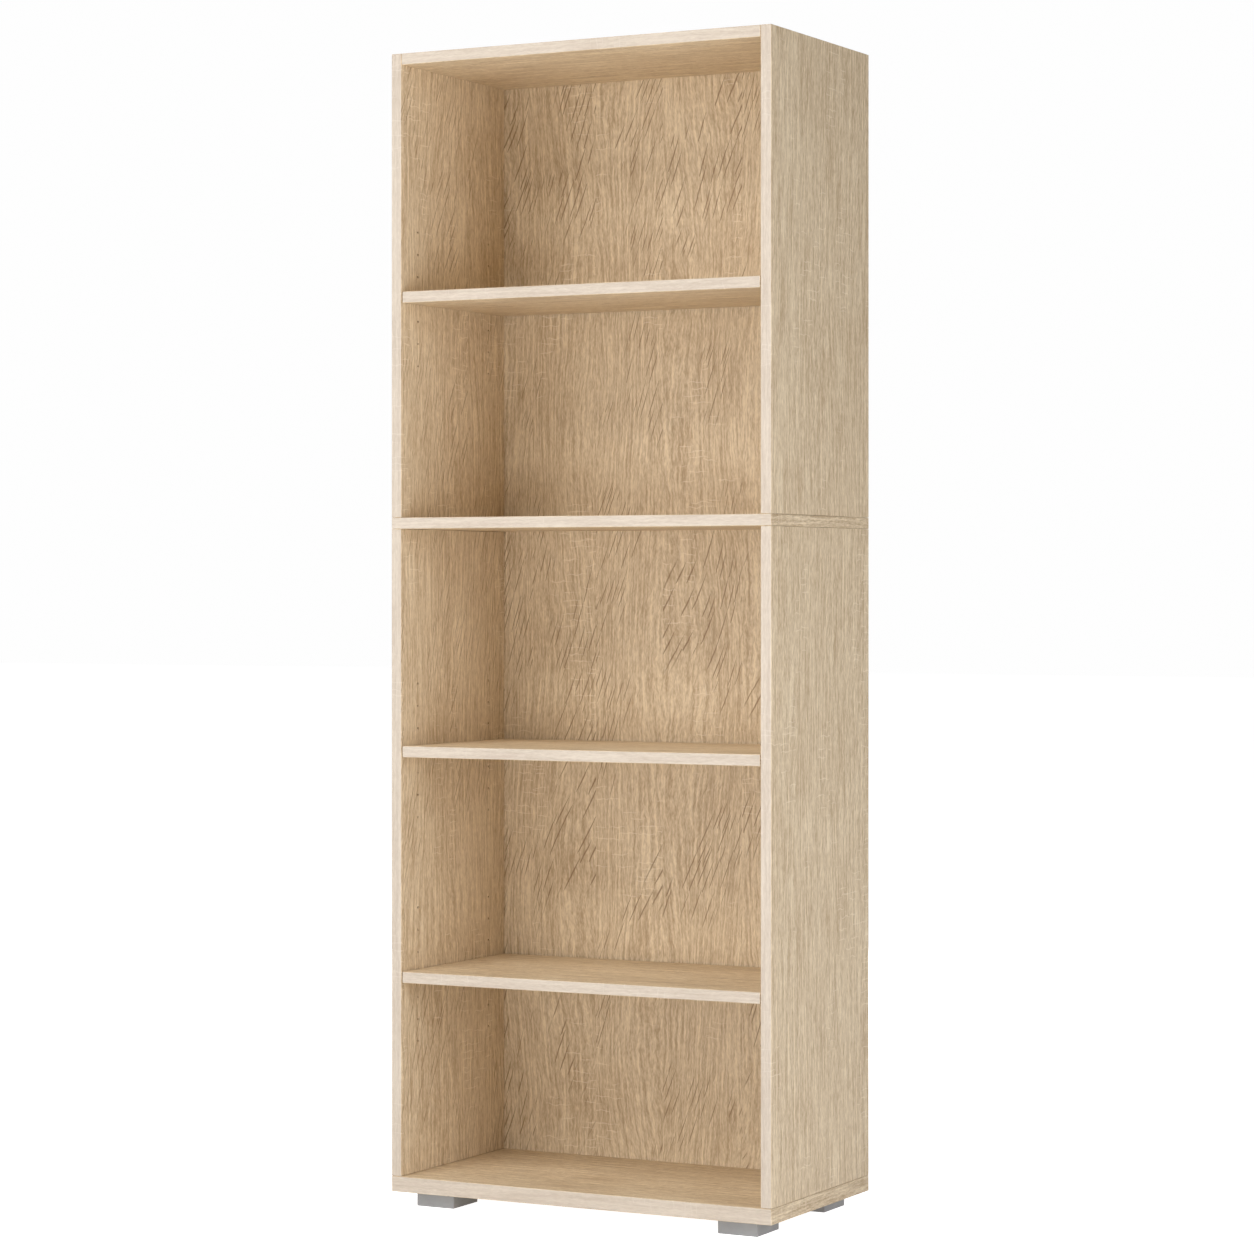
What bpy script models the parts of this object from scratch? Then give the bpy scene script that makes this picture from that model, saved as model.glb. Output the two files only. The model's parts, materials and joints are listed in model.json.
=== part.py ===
"""Bookcase with adjustable shelves: a tall open bookcase in oak decor on four low plastic feet.

Metres, +Z up, front towards -Y. The origin is on the floor, at the centre of the footprint.
The middle panel runs the full width: the lower sides end under it and the upper sides stand on it.
Three loose shelves hang on concealed wires, whose legs plug into rows of small holes in the sides.
"""

import math

import bmesh
import bpy
from mathutils import Vector

# Whole carcass
WIDTH = 0.600
DEPTH = 0.323
CARCASS_HEIGHT = 1.623
BOARD = 0.016
BOTTOM_THICK = 0.022
GAP = 0.0003
EDGE_ROUND = 0.0005

# Heights of the undersides of the panels and shelves above the carcass's own underside
MIDDLE_UNDER = 0.9455
SHELF_UNDER = {"upper_shelf": 1.2677, "lower_shelf_high": 0.6198, "lower_shelf_low": 0.2981}

# Back sheets, in grooves
BACK_THICK = 0.003
BACK_INSET = 0.027
GROOVE_DEPTH = 0.006

# Loose shelves
SHELF_END_GAP = 0.0012
SHELF_SETBACK = 0.001
SHELF_BACK_GAP = 0.003

# Concealed shelf wires, the kerfs in the shelf ends and the rows of holes
WIRE_R = 0.0015
WIRE_STANDOFF = 0.0055
WIRE_LEG = 0.0105
WIRE_END_INSET = 0.045
WIRE_BEND_R = 0.003
BEND_STEPS = 4
KERF_DEPTH = 0.008
KERF_FRONT = 0.030
HOLE_PITCH = 0.032
HOLES_EACH_WAY = 3
HOLE_R = 0.0019
HOLE_DEPTH = 0.012

# Feet
FOOT_SIZE = (0.061, 0.068, 0.021)
FOOT_INSET_SIDE = 0.030
FOOT_INSET_FRONT = 0.020
FOOT_INSET_REAR = 0.017
FOOT_WALL = 0.003
FOOT_LAND = 0.020
FOOT_ROUND = 0.0015
FOOT_SCREW_OFFSET = 0.020
FOOT_BORE_R = 0.0047
FOOT_BORE_DEPTH = 0.012

# Fasteners: radii, lengths and their places from front to rear
SCREW_Y = {"front": -0.098, "rear": 0.068}
DOWEL_Y = {"front": -0.134, "rear": 0.110}
SCREW_R = 0.0035
SCREW_HEAD_R = 0.005
SCREW_LENGTH = 0.050
SCREW_SUNK = 0.0004
FLAT_HEAD = 0.6  # height of a flat-backed head, in head radii
BLUNT_TIP = 0.4  # radius of a screw's tip, in shank radii
HEX_R = 0.0023
HEX_DEPTH = 0.0026
DOWEL_R = 0.004
DOWEL_CHAMFER = 0.0008
DOWEL_IN_SIDE = 0.022
DOWEL_IN_BOTTOM = 0.013
TOP_DOWEL_IN_SIDE = 0.010
TOP_DOWEL_IN_TOP = 0.020
FOOT_SCREW_R = 0.002
FOOT_SCREW_HEAD_R = 0.0042
FOOT_SCREW_LENGTH = 0.020
CAM_R = 0.0072
CAM_HEIGHT = 0.012
CAM_FROM_END = 0.024
CAM_SLOT = (0.008, 0.0012, 0.0032)
BOLT_THREAD_R = 0.003
BOLT_PIN_R = 0.0025
BOLT_NECK_R = 0.0015
BOLT_NECK_END = 0.0045
BOLT_HEAD_R = 0.0029
BOLT_IN_SIDE = 0.010

# Facets round a hole or a shaft, and how far a cutter reaches out of the face that it enters
FACETS = 12
SMALL_FACETS = 10
PROUD = 0.0005

UNDERSIDE = FOOT_SIZE[2] + GAP
BOTTOM_TOP = UNDERSIDE + BOTTOM_THICK
MIDDLE_LOW = UNDERSIDE + MIDDLE_UNDER
MIDDLE_TOP = MIDDLE_LOW + BOARD
TOP_Z = UNDERSIDE + CARCASS_HEIGHT
TOP_LOW = TOP_Z - BOARD
FRONT_Y = -DEPTH / 2
REAR_Y = DEPTH / 2
BACK_FACE_Y = REAR_Y - BACK_INSET
INNER_X = WIDTH / 2 - BOARD
SIDE_MID_X = WIDTH / 2 - BOARD / 2
SIDES = {"left": -1, "right": 1}
UP = Vector((0, 0, 1))
DOWN = -UP

COLOURS = {  # colour, roughness, metallic
    "oak_decor": ((0.60, 0.48, 0.36), 0.55, 0.0),
    "oak_decor_back": ((0.52, 0.40, 0.28), 0.60, 0.0),
    "grey_plastic": ((0.42, 0.42, 0.41), 0.45, 0.0),
    "zinc_plated_steel": ((0.62, 0.62, 0.64), 0.35, 1.0),
    "beech": ((0.68, 0.50, 0.31), 0.70, 0.0),
    "die_cast_zinc": ((0.48, 0.48, 0.50), 0.45, 1.0),
}


def clear_scene():
    for obj in list(bpy.data.objects):
        bpy.data.objects.remove(obj, do_unlink=True)


def make_collection(name):
    collection = bpy.data.collections.new(name)
    bpy.context.scene.collection.children.link(collection)
    return collection


def make_material(name):
    colour, roughness, metallic = COLOURS[name]
    material = bpy.data.materials.new(name)
    material.use_nodes = True
    shader = material.node_tree.nodes["Principled BSDF"]
    shader.inputs["Base Color"].default_value = (*colour, 1.0)
    shader.inputs["Roughness"].default_value = roughness
    shader.inputs["Metallic"].default_value = metallic
    return material


def place(name, data, location, material=None, parent=None):
    """A new object in the bookcase's collection, at a place given in the world."""
    obj = bpy.data.objects.new(name, data)
    bookcase.objects.link(obj)
    obj.location = Vector(location) - (parent.location if parent else Vector())
    obj.parent = parent
    if material:
        data.materials.clear()
        data.materials.append(materials[material])
    return obj


def point_along(obj, direction):
    obj.rotation_euler = Vector(direction).to_track_quat("Z", "Y").to_euler()


# Meshes


def box_mesh(size):
    bm = bmesh.new()
    bmesh.ops.create_cube(bm, size=1.0)
    bmesh.ops.scale(bm, vec=size, verts=bm.verts)
    mesh = bpy.data.meshes.new("box")
    bm.to_mesh(mesh)
    bm.free()
    return mesh


def rod_mesh(radius, length, segments=FACETS, end_radius=None):
    """A cylinder or cone that stands on its origin and rises along Z."""
    bm = bmesh.new()
    top = radius if end_radius is None else end_radius
    bmesh.ops.create_cone(
        bm, cap_ends=True, segments=segments, radius1=radius, radius2=top, depth=length
    )
    bmesh.ops.translate(bm, vec=(0, 0, length / 2), verts=bm.verts)
    mesh = bpy.data.meshes.new("rod")
    bm.to_mesh(mesh)
    bm.free()
    return mesh


def turned_mesh(profile):
    """An open profile of (radius, height) points, from the axis at its top to the axis at its bottom."""
    mesh = bpy.data.meshes.new("profile")
    edges = [(i, i + 1) for i in range(len(profile) - 1)]
    mesh.from_pydata([(r, 0, z) for r, z in profile], edges, [])
    return mesh


def turn(obj):
    screw = obj.modifiers.new("Turn", "SCREW")
    screw.steps = screw.render_steps = FACETS
    screw.use_merge_vertices = True
    screw.merge_threshold = 0.00001
    screw.use_smooth_shade = False


def round_edges(obj, width, segments=1):
    bevel = obj.modifiers.new("Rounded edges", "BEVEL")
    bevel.width = width
    bevel.segments = segments
    bevel.limit_method = "ANGLE"


# Cutting


def cut_with(obj, cutters):
    boolean = obj.modifiers.new("Cuts", "BOOLEAN")
    boolean.operation = "DIFFERENCE"
    boolean.operand_type = "COLLECTION"
    boolean.solver = "EXACT"
    boolean.collection = cutters


def cutters_of(obj):
    """The collection of an object's cutters, made with its Boolean on first use."""
    name = "cut_" + obj.name
    if name not in bpy.data.collections:
        collection = bpy.data.collections.new(name)
        all_cutters.children.link(collection)
        cut_with(obj, collection)
    return bpy.data.collections[name]


def add_cutter(obj, mesh, location, direction=UP):
    cutter = bpy.data.objects.new("cutter", mesh)
    cutter.location = location
    point_along(cutter, direction)
    cutter.hide_render = True
    cutter.display_type = "WIRE"
    cutters_of(obj).objects.link(cutter)


def drill(obj, mouth, direction, radius, depth, segments=FACETS):
    """A round hole that enters at mouth and goes depth along direction."""
    direction = Vector(direction)
    start = Vector(mouth) - direction * PROUD
    add_cutter(obj, rod_mesh(radius, depth + PROUD, segments), start, direction)


def countersink(obj, mouth, direction, wide, narrow):
    """A 45 degree cone that narrows from wide to narrow behind the face it enters."""
    direction = Vector(direction)
    start = Vector(mouth) - direction * PROUD
    depth = wide - narrow + PROUD
    cone = rod_mesh(wide + PROUD, depth, FACETS, narrow)
    add_cutter(obj, cone, start, direction)


def mill(obj, low, high):
    """A rectangular pocket or groove between two corners."""
    low, high = Vector(low), Vector(high)
    add_cutter(obj, box_mesh(high - low), (low + high) / 2)


# Boards


def board(name, low, high, material="oak_decor", parent=None):
    low, high = Vector(low), Vector(high)
    obj = place(name, box_mesh(high - low), (low + high) / 2, material, parent)
    round_edges(obj, EDGE_ROUND)
    return obj


def make_carcass():
    """The bottom, middle and top panels and the four sides."""
    half = WIDTH / 2
    board("bottom_panel", (-half, FRONT_Y, UNDERSIDE), (half, REAR_Y, BOTTOM_TOP))
    board("middle_panel", (-half, FRONT_Y, MIDDLE_LOW), (half, REAR_Y, MIDDLE_TOP))
    inner = INNER_X - GAP
    board("top_panel", (-inner, FRONT_Y, TOP_LOW), (inner, REAR_Y, TOP_Z))
    for side, sign in SIDES.items():
        x = sorted((sign * half, sign * INNER_X))
        low_z, high_z = BOTTOM_TOP + GAP, MIDDLE_LOW - GAP
        board(f"lower_side_{side}", (x[0], FRONT_Y, low_z), (x[1], REAR_Y, high_z))
        low_z = MIDDLE_TOP + GAP
        board(f"upper_side_{side}", (x[0], FRONT_Y, low_z), (x[1], REAR_Y, TOP_Z))


def make_back(name, below, above, neighbours):
    """A thin back sheet between two heights, and the groove that holds it in the boards round it."""
    reach = INNER_X + GROOVE_DEPTH
    low_z = below - GROOVE_DEPTH
    high_z = above + GROOVE_DEPTH
    y = (BACK_FACE_Y, BACK_FACE_Y + BACK_THICK)
    sheet_low = (-reach + GAP, y[0], low_z + GAP)
    sheet_high = (reach - GAP, y[1], high_z - GAP)
    low, high = Vector(sheet_low), Vector(sheet_high)
    place(name, box_mesh(high - low), (low + high) / 2, "oak_decor_back")
    y = (y[0] - GAP, y[1] + GAP)
    groove = ((-reach, y[0], low_z), (reach, y[1], high_z))
    for neighbour in neighbours:
        mill(bpy.data.objects[neighbour], *groove)


def make_backs():
    around = ["lower_side_left", "lower_side_right", "bottom_panel", "middle_panel"]
    make_back("back_panel_lower", BOTTOM_TOP, MIDDLE_LOW, around)
    around = ["upper_side_left", "upper_side_right", "middle_panel", "top_panel"]
    make_back("back_panel_upper", MIDDLE_TOP, TOP_LOW, around)


# Shelves on concealed wires


def make_shelf(name):
    """A loose shelf and its two wires, under an empty at the height of the wires."""
    low_z = UNDERSIDE + SHELF_UNDER[name]
    wire_z = low_z + BOARD / 2
    level = place(name + "_level", None, (0, 0, wire_z))
    end_x = INNER_X - SHELF_END_GAP
    front_y = FRONT_Y + SHELF_SETBACK
    rear_y = BACK_FACE_Y - SHELF_BACK_GAP
    shelf = board(
        name, (-end_x, front_y, low_z), (end_x, rear_y, low_z + BOARD), parent=level
    )
    half_kerf = WIRE_R + GAP
    for side, sign in SIDES.items():
        x = sorted((sign * (end_x - KERF_DEPTH), sign * (end_x + PROUD)))
        mill(
            shelf,
            (x[0], front_y + KERF_FRONT, wire_z - half_kerf),
            (x[1], rear_y + PROUD, wire_z + half_kerf),
        )
        ends = (front_y + WIRE_END_INSET, rear_y - WIRE_END_INSET)
        make_wire(f"{name}_wire_{side}", sign, ends, wire_z, level)
        drill_hole_rows(side, sign, ends, wire_z, name)


def wire_route(sign, ends):
    """A flat staple: a leg into the side, a long run along it and a leg back, with rounded bends."""
    face = sign * INNER_X
    tip = face + sign * WIRE_LEG
    run = face - sign * WIRE_STANDOFF
    points = [(tip, ends[0], 0)]
    for y, turn_way in ((ends[0], 1), (ends[1], -1)):
        centre = (run + sign * WIRE_BEND_R, y + turn_way * WIRE_BEND_R)
        arc = []
        for step in range(BEND_STEPS + 1):
            angle = math.pi / 2 * step / BEND_STEPS
            arc.append(
                (
                    centre[0] - sign * WIRE_BEND_R * math.sin(angle),
                    centre[1] - turn_way * WIRE_BEND_R * math.cos(angle),
                    0,
                )
            )
        points += arc if turn_way > 0 else arc[::-1]
    points.append((tip, ends[1], 0))
    return points


def make_wire(name, sign, ends, wire_z, level):
    points = wire_route(sign, ends)
    curve = bpy.data.curves.new(name, "CURVE")
    curve.dimensions = "3D"
    curve.bevel_depth = WIRE_R
    curve.bevel_resolution = 2
    curve.use_fill_caps = True
    spline = curve.splines.new("POLY")
    spline.points.add(len(points) - 1)
    for point, (x, y, z) in zip(spline.points, points, strict=True):
        point.co = (x, y, z, 1)
    place(name, curve, (0, 0, wire_z), "zinc_plated_steel", level)


def drill_hole_rows(side, sign, ends, wire_z, shelf_name):
    """Seven heights for each leg of a wire, at the standard pitch."""
    panel = bpy.data.objects[f"{shelf_name.split('_')[0]}_side_{side}"]
    for y in ends:
        for step in range(-HOLES_EACH_WAY, HOLES_EACH_WAY + 1):
            mouth = (sign * INNER_X, y, wire_z + step * HOLE_PITCH)
            drill(panel, mouth, (sign, 0, 0), HOLE_R, HOLE_DEPTH, SMALL_FACETS)


# Fasteners


def screw_profile(head_r, shank_r, length, cone):
    """A screw that points down Z from its head's flat top, with a countersunk or a flat-backed head."""
    neck = head_r - shank_r if cone else FLAT_HEAD * head_r
    points = [(0, 0), (head_r, 0)]
    if not cone:
        points.append((head_r, -neck))
    points += [(shank_r, -neck), (shank_r, shank_r - length)]
    return points + [(BLUNT_TIP * shank_r, -length), (0, -length)]


def hex_socket(screw):
    mesh = rod_mesh(HEX_R, HEX_DEPTH + PROUD, 6)
    inward = -(screw.rotation_euler.to_matrix() @ UP)
    add_cutter(screw, mesh, screw.location - inward * PROUD, inward)


def make_carcass_screw(name, head, direction, mesh):
    """A connecting screw with a countersunk hexagon-socket head, whose shank goes along direction."""
    direction = Vector(direction)
    screw = place(name, mesh, Vector(head) + direction * SCREW_SUNK, "zinc_plated_steel")
    point_along(screw, -direction)
    turn(screw)
    hex_socket(screw)


def screw_hole(panel, thick, head, direction, into):
    """The countersunk clearance hole through a panel, and the hole in the end of the board behind it."""
    direction = Vector(direction)
    mouth = Vector(head)
    radius = SCREW_R + GAP
    drill(panel, mouth, direction, radius, thick + PROUD)
    countersink(panel, mouth, direction, SCREW_HEAD_R + GAP + SCREW_SUNK, radius)
    end = mouth + direction * (thick + GAP)
    drill(into, end, direction, radius, SCREW_LENGTH - thick + GAP)


def make_screws():
    mesh = turned_mesh(screw_profile(SCREW_HEAD_R, SCREW_R, SCREW_LENGTH, cone=True))
    bottom = bpy.data.objects["bottom_panel"]
    middle = bpy.data.objects["middle_panel"]
    for side, sign in SIDES.items():
        lower = bpy.data.objects[f"lower_side_{side}"]
        for place_name, y in SCREW_Y.items():
            head = (sign * SIDE_MID_X, y, UNDERSIDE)
            make_carcass_screw(f"base_screw_{side}_{place_name}", head, UP, mesh)
            screw_hole(bottom, BOTTOM_THICK, head, UP, lower)
            head = (sign * SIDE_MID_X, y, MIDDLE_TOP)
            make_carcass_screw(f"middle_screw_{side}_{place_name}", head, DOWN, mesh)
            screw_hole(middle, BOARD, head, DOWN, lower)


def make_dowel(name, start, direction, length):
    obj = place(name, rod_mesh(DOWEL_R, length), start, "beech")
    point_along(obj, direction)
    round_edges(obj, DOWEL_CHAMFER)


def make_dowels():
    """Wooden dowels that line up the sides with the bottom, middle and top panels."""
    radius = DOWEL_R + GAP
    bottom = bpy.data.objects["bottom_panel"]
    middle = bpy.data.objects["middle_panel"]
    top = bpy.data.objects["top_panel"]
    for side, sign in SIDES.items():
        lower = bpy.data.objects[f"lower_side_{side}"]
        upper = bpy.data.objects[f"upper_side_{side}"]
        for place_name, y in DOWEL_Y.items():
            x = sign * SIDE_MID_X
            joint = (x, y, BOTTOM_TOP)
            start = (x, y, BOTTOM_TOP - DOWEL_IN_BOTTOM)
            length = DOWEL_IN_BOTTOM + DOWEL_IN_SIDE
            make_dowel(f"base_dowel_{side}_{place_name}", start, UP, length)
            drill(bottom, joint, DOWN, radius, DOWEL_IN_BOTTOM + GAP)
            drill(lower, (x, y, BOTTOM_TOP + GAP), UP, radius, DOWEL_IN_SIDE)

            start = (x, y, MIDDLE_LOW - DOWEL_IN_SIDE)
            length = BOARD + 2 * DOWEL_IN_SIDE
            make_dowel(f"middle_dowel_{side}_{place_name}", start, UP, length)
            drill(middle, (x, y, MIDDLE_TOP), DOWN, radius, BOARD + PROUD)
            drill(lower, (x, y, MIDDLE_LOW - GAP), DOWN, radius, DOWEL_IN_SIDE)
            drill(upper, (x, y, MIDDLE_TOP + GAP), UP, radius, DOWEL_IN_SIDE)

            outward = Vector((sign, 0, 0))
            face = Vector((sign * INNER_X, y, TOP_LOW + BOARD / 2))
            start = face - outward * TOP_DOWEL_IN_TOP
            length = TOP_DOWEL_IN_TOP + TOP_DOWEL_IN_SIDE
            make_dowel(f"top_dowel_{side}_{place_name}", start, outward, length)
            drill(upper, face, outward, radius, TOP_DOWEL_IN_SIDE + GAP)
            drill(top, face - outward * GAP, -outward, radius, TOP_DOWEL_IN_TOP)


def bolt_profile():
    """A cam bolt that points down Z from its ball head: a neck, a pin and a thread."""
    face = -CAM_FROM_END
    end = face - BOLT_IN_SIDE
    return [
        (0, BOLT_HEAD_R * 0.8),
        (BOLT_HEAD_R, BOLT_HEAD_R * 0.4),
        (BOLT_HEAD_R, -BOLT_HEAD_R * 0.4),
        (BOLT_NECK_R, -BOLT_HEAD_R * 0.8),
        (BOLT_NECK_R, -BOLT_NECK_END),
        (BOLT_PIN_R, -BOLT_NECK_END - BOLT_PIN_R + BOLT_NECK_R),
        (BOLT_PIN_R, face),
        (BOLT_THREAD_R, face - GAP),
        (BOLT_THREAD_R, end + BOLT_THREAD_R / 2),
        (BOLT_THREAD_R / 2, end),
        (0, end),
    ]


def make_cam_fittings():
    """Cams sunk in the top face of the top panel, and the bolts that they pull, screwed into the sides."""
    bolt_mesh = turned_mesh(bolt_profile())
    cam_mesh = rod_mesh(CAM_R, CAM_HEIGHT)
    top = bpy.data.objects["top_panel"]
    mid_z = TOP_LOW + BOARD / 2
    slot = Vector(CAM_SLOT) / 2
    for side, sign in SIDES.items():
        upper = bpy.data.objects[f"upper_side_{side}"]
        outward = Vector((sign, 0, 0))
        for place_name, y in SCREW_Y.items():
            face = Vector((sign * INNER_X, y, mid_z))
            centre = face - outward * CAM_FROM_END
            bolt = place(f"cam_bolt_{side}_{place_name}", bolt_mesh, centre, "zinc_plated_steel")
            point_along(bolt, -outward)
            turn(bolt)
            base = Vector((centre.x, y, TOP_Z - GAP - CAM_HEIGHT))
            cam = place(f"cam_{side}_{place_name}", cam_mesh, base, "die_cast_zinc")
            drill(cam, centre + outward * CAM_R, -outward, BOLT_HEAD_R + GAP, CAM_R + BOLT_THREAD_R)
            crown = Vector((centre.x, y, TOP_Z - GAP))
            mill(cam, crown - slot, crown + slot)
            drill(top, (centre.x, y, TOP_Z), DOWN, CAM_R + GAP, CAM_HEIGHT + 2 * GAP)
            drill(top, face - outward * GAP, -outward, BOLT_THREAD_R + GAP, CAM_FROM_END)
            drill(upper, face, outward, BOLT_THREAD_R + GAP, BOLT_IN_SIDE + GAP)


# Feet


def make_foot(name, centre, screw_mesh):
    """A moulded block, open at its top on both sides of a land that takes two screws from below."""
    width, length, height = FOOT_SIZE
    x, y = centre
    foot = place(name, box_mesh(FOOT_SIZE), (x, y, height / 2), "grey_plastic")
    round_edges(foot, FOOT_ROUND, 2)
    bottom = bpy.data.objects["bottom_panel"]
    outer = width / 2 - FOOT_WALL
    reach = length / 2 - FOOT_WALL
    for sign in (-1, 1):
        across = sorted((sign * FOOT_LAND / 2, sign * outer))
        low = (x + across[0], y - reach, FOOT_WALL)
        mill(foot, low, (x + across[1], y + reach, height + PROUD))
    for number, sign in enumerate((-1, 1), 1):
        screw_y = y + sign * FOOT_SCREW_OFFSET
        drill(foot, (x, screw_y, 0), UP, FOOT_BORE_R, FOOT_BORE_DEPTH)
        drill(foot, (x, screw_y, 0), UP, FOOT_SCREW_R + GAP, height + PROUD)
        head_z = FOOT_BORE_DEPTH - GAP - FLAT_HEAD * FOOT_SCREW_HEAD_R
        screw_name = name.replace("foot", "foot_screw") + f"_{number}"
        screw = place(screw_name, screw_mesh, (x, screw_y, head_z), "zinc_plated_steel")
        point_along(screw, DOWN)
        turn(screw)
        into_panel = head_z + FOOT_SCREW_LENGTH - UNDERSIDE
        drill(bottom, (x, screw_y, UNDERSIDE), UP, FOOT_SCREW_R + GAP, into_panel + GAP)


def make_feet():
    profile = screw_profile(FOOT_SCREW_HEAD_R, FOOT_SCREW_R, FOOT_SCREW_LENGTH, cone=False)
    screw_mesh = turned_mesh(profile)
    width, length, _ = FOOT_SIZE
    rows = {
        "front": FRONT_Y + FOOT_INSET_FRONT + length / 2,
        "rear": REAR_Y - FOOT_INSET_REAR - length / 2,
    }
    for side, sign in SIDES.items():
        x = sign * (WIDTH / 2 - FOOT_INSET_SIDE - width / 2)
        for row, y in rows.items():
            make_foot(f"foot_{row}_{side}", (x, y), screw_mesh)


clear_scene()
bookcase = make_collection("bookcase")
all_cutters = make_collection("cutters")
materials = {name: make_material(name) for name in COLOURS}
make_carcass()
make_backs()
for shelf_name in SHELF_UNDER:
    make_shelf(shelf_name)
make_screws()
make_dowels()
make_cam_fittings()
make_feet()
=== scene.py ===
"""The looks of the bookcase: rough-sawn oak decor and edge bands on the boards of the fixed frame,
and finer meshes in place of its feet and fittings."""

import json
import math

import bmesh
import bpy
from mathutils import Matrix, Vector


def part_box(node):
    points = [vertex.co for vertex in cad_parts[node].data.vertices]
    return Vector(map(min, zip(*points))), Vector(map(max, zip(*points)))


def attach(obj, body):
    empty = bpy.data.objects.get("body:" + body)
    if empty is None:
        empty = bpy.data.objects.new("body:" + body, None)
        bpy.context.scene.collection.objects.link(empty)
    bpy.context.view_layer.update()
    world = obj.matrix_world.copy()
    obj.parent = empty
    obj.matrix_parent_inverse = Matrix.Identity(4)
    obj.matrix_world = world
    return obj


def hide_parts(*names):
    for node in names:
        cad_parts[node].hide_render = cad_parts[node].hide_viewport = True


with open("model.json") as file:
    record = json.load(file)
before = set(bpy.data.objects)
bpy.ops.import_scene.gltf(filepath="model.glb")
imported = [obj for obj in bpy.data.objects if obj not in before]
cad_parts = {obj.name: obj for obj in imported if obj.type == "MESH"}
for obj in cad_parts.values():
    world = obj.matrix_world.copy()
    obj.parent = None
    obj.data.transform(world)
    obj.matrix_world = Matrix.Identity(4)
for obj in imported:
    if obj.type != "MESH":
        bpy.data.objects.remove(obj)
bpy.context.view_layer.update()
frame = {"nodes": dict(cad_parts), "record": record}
nodes = frame["nodes"]
bodies = frame["record"]["behaviour"]["bodies"]
body_of = {node: body for body, group in bodies.items() for node in group}
scene = bpy.context.scene

X, Y, Z = range(3)
UP = Vector((0, 0, 1))


# Node trees: a small notation for shader maths

STROKE_JITTER = 0.9
STROKE_LENGTH = (0.5, 0.6)  # shares of the half length: the least, and how much more at most
STROKE_WIDTH = (0.75, -0.45)  # in the middle, and its change towards the upper tip
LEAST_WIDTH = 1e-4


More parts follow.
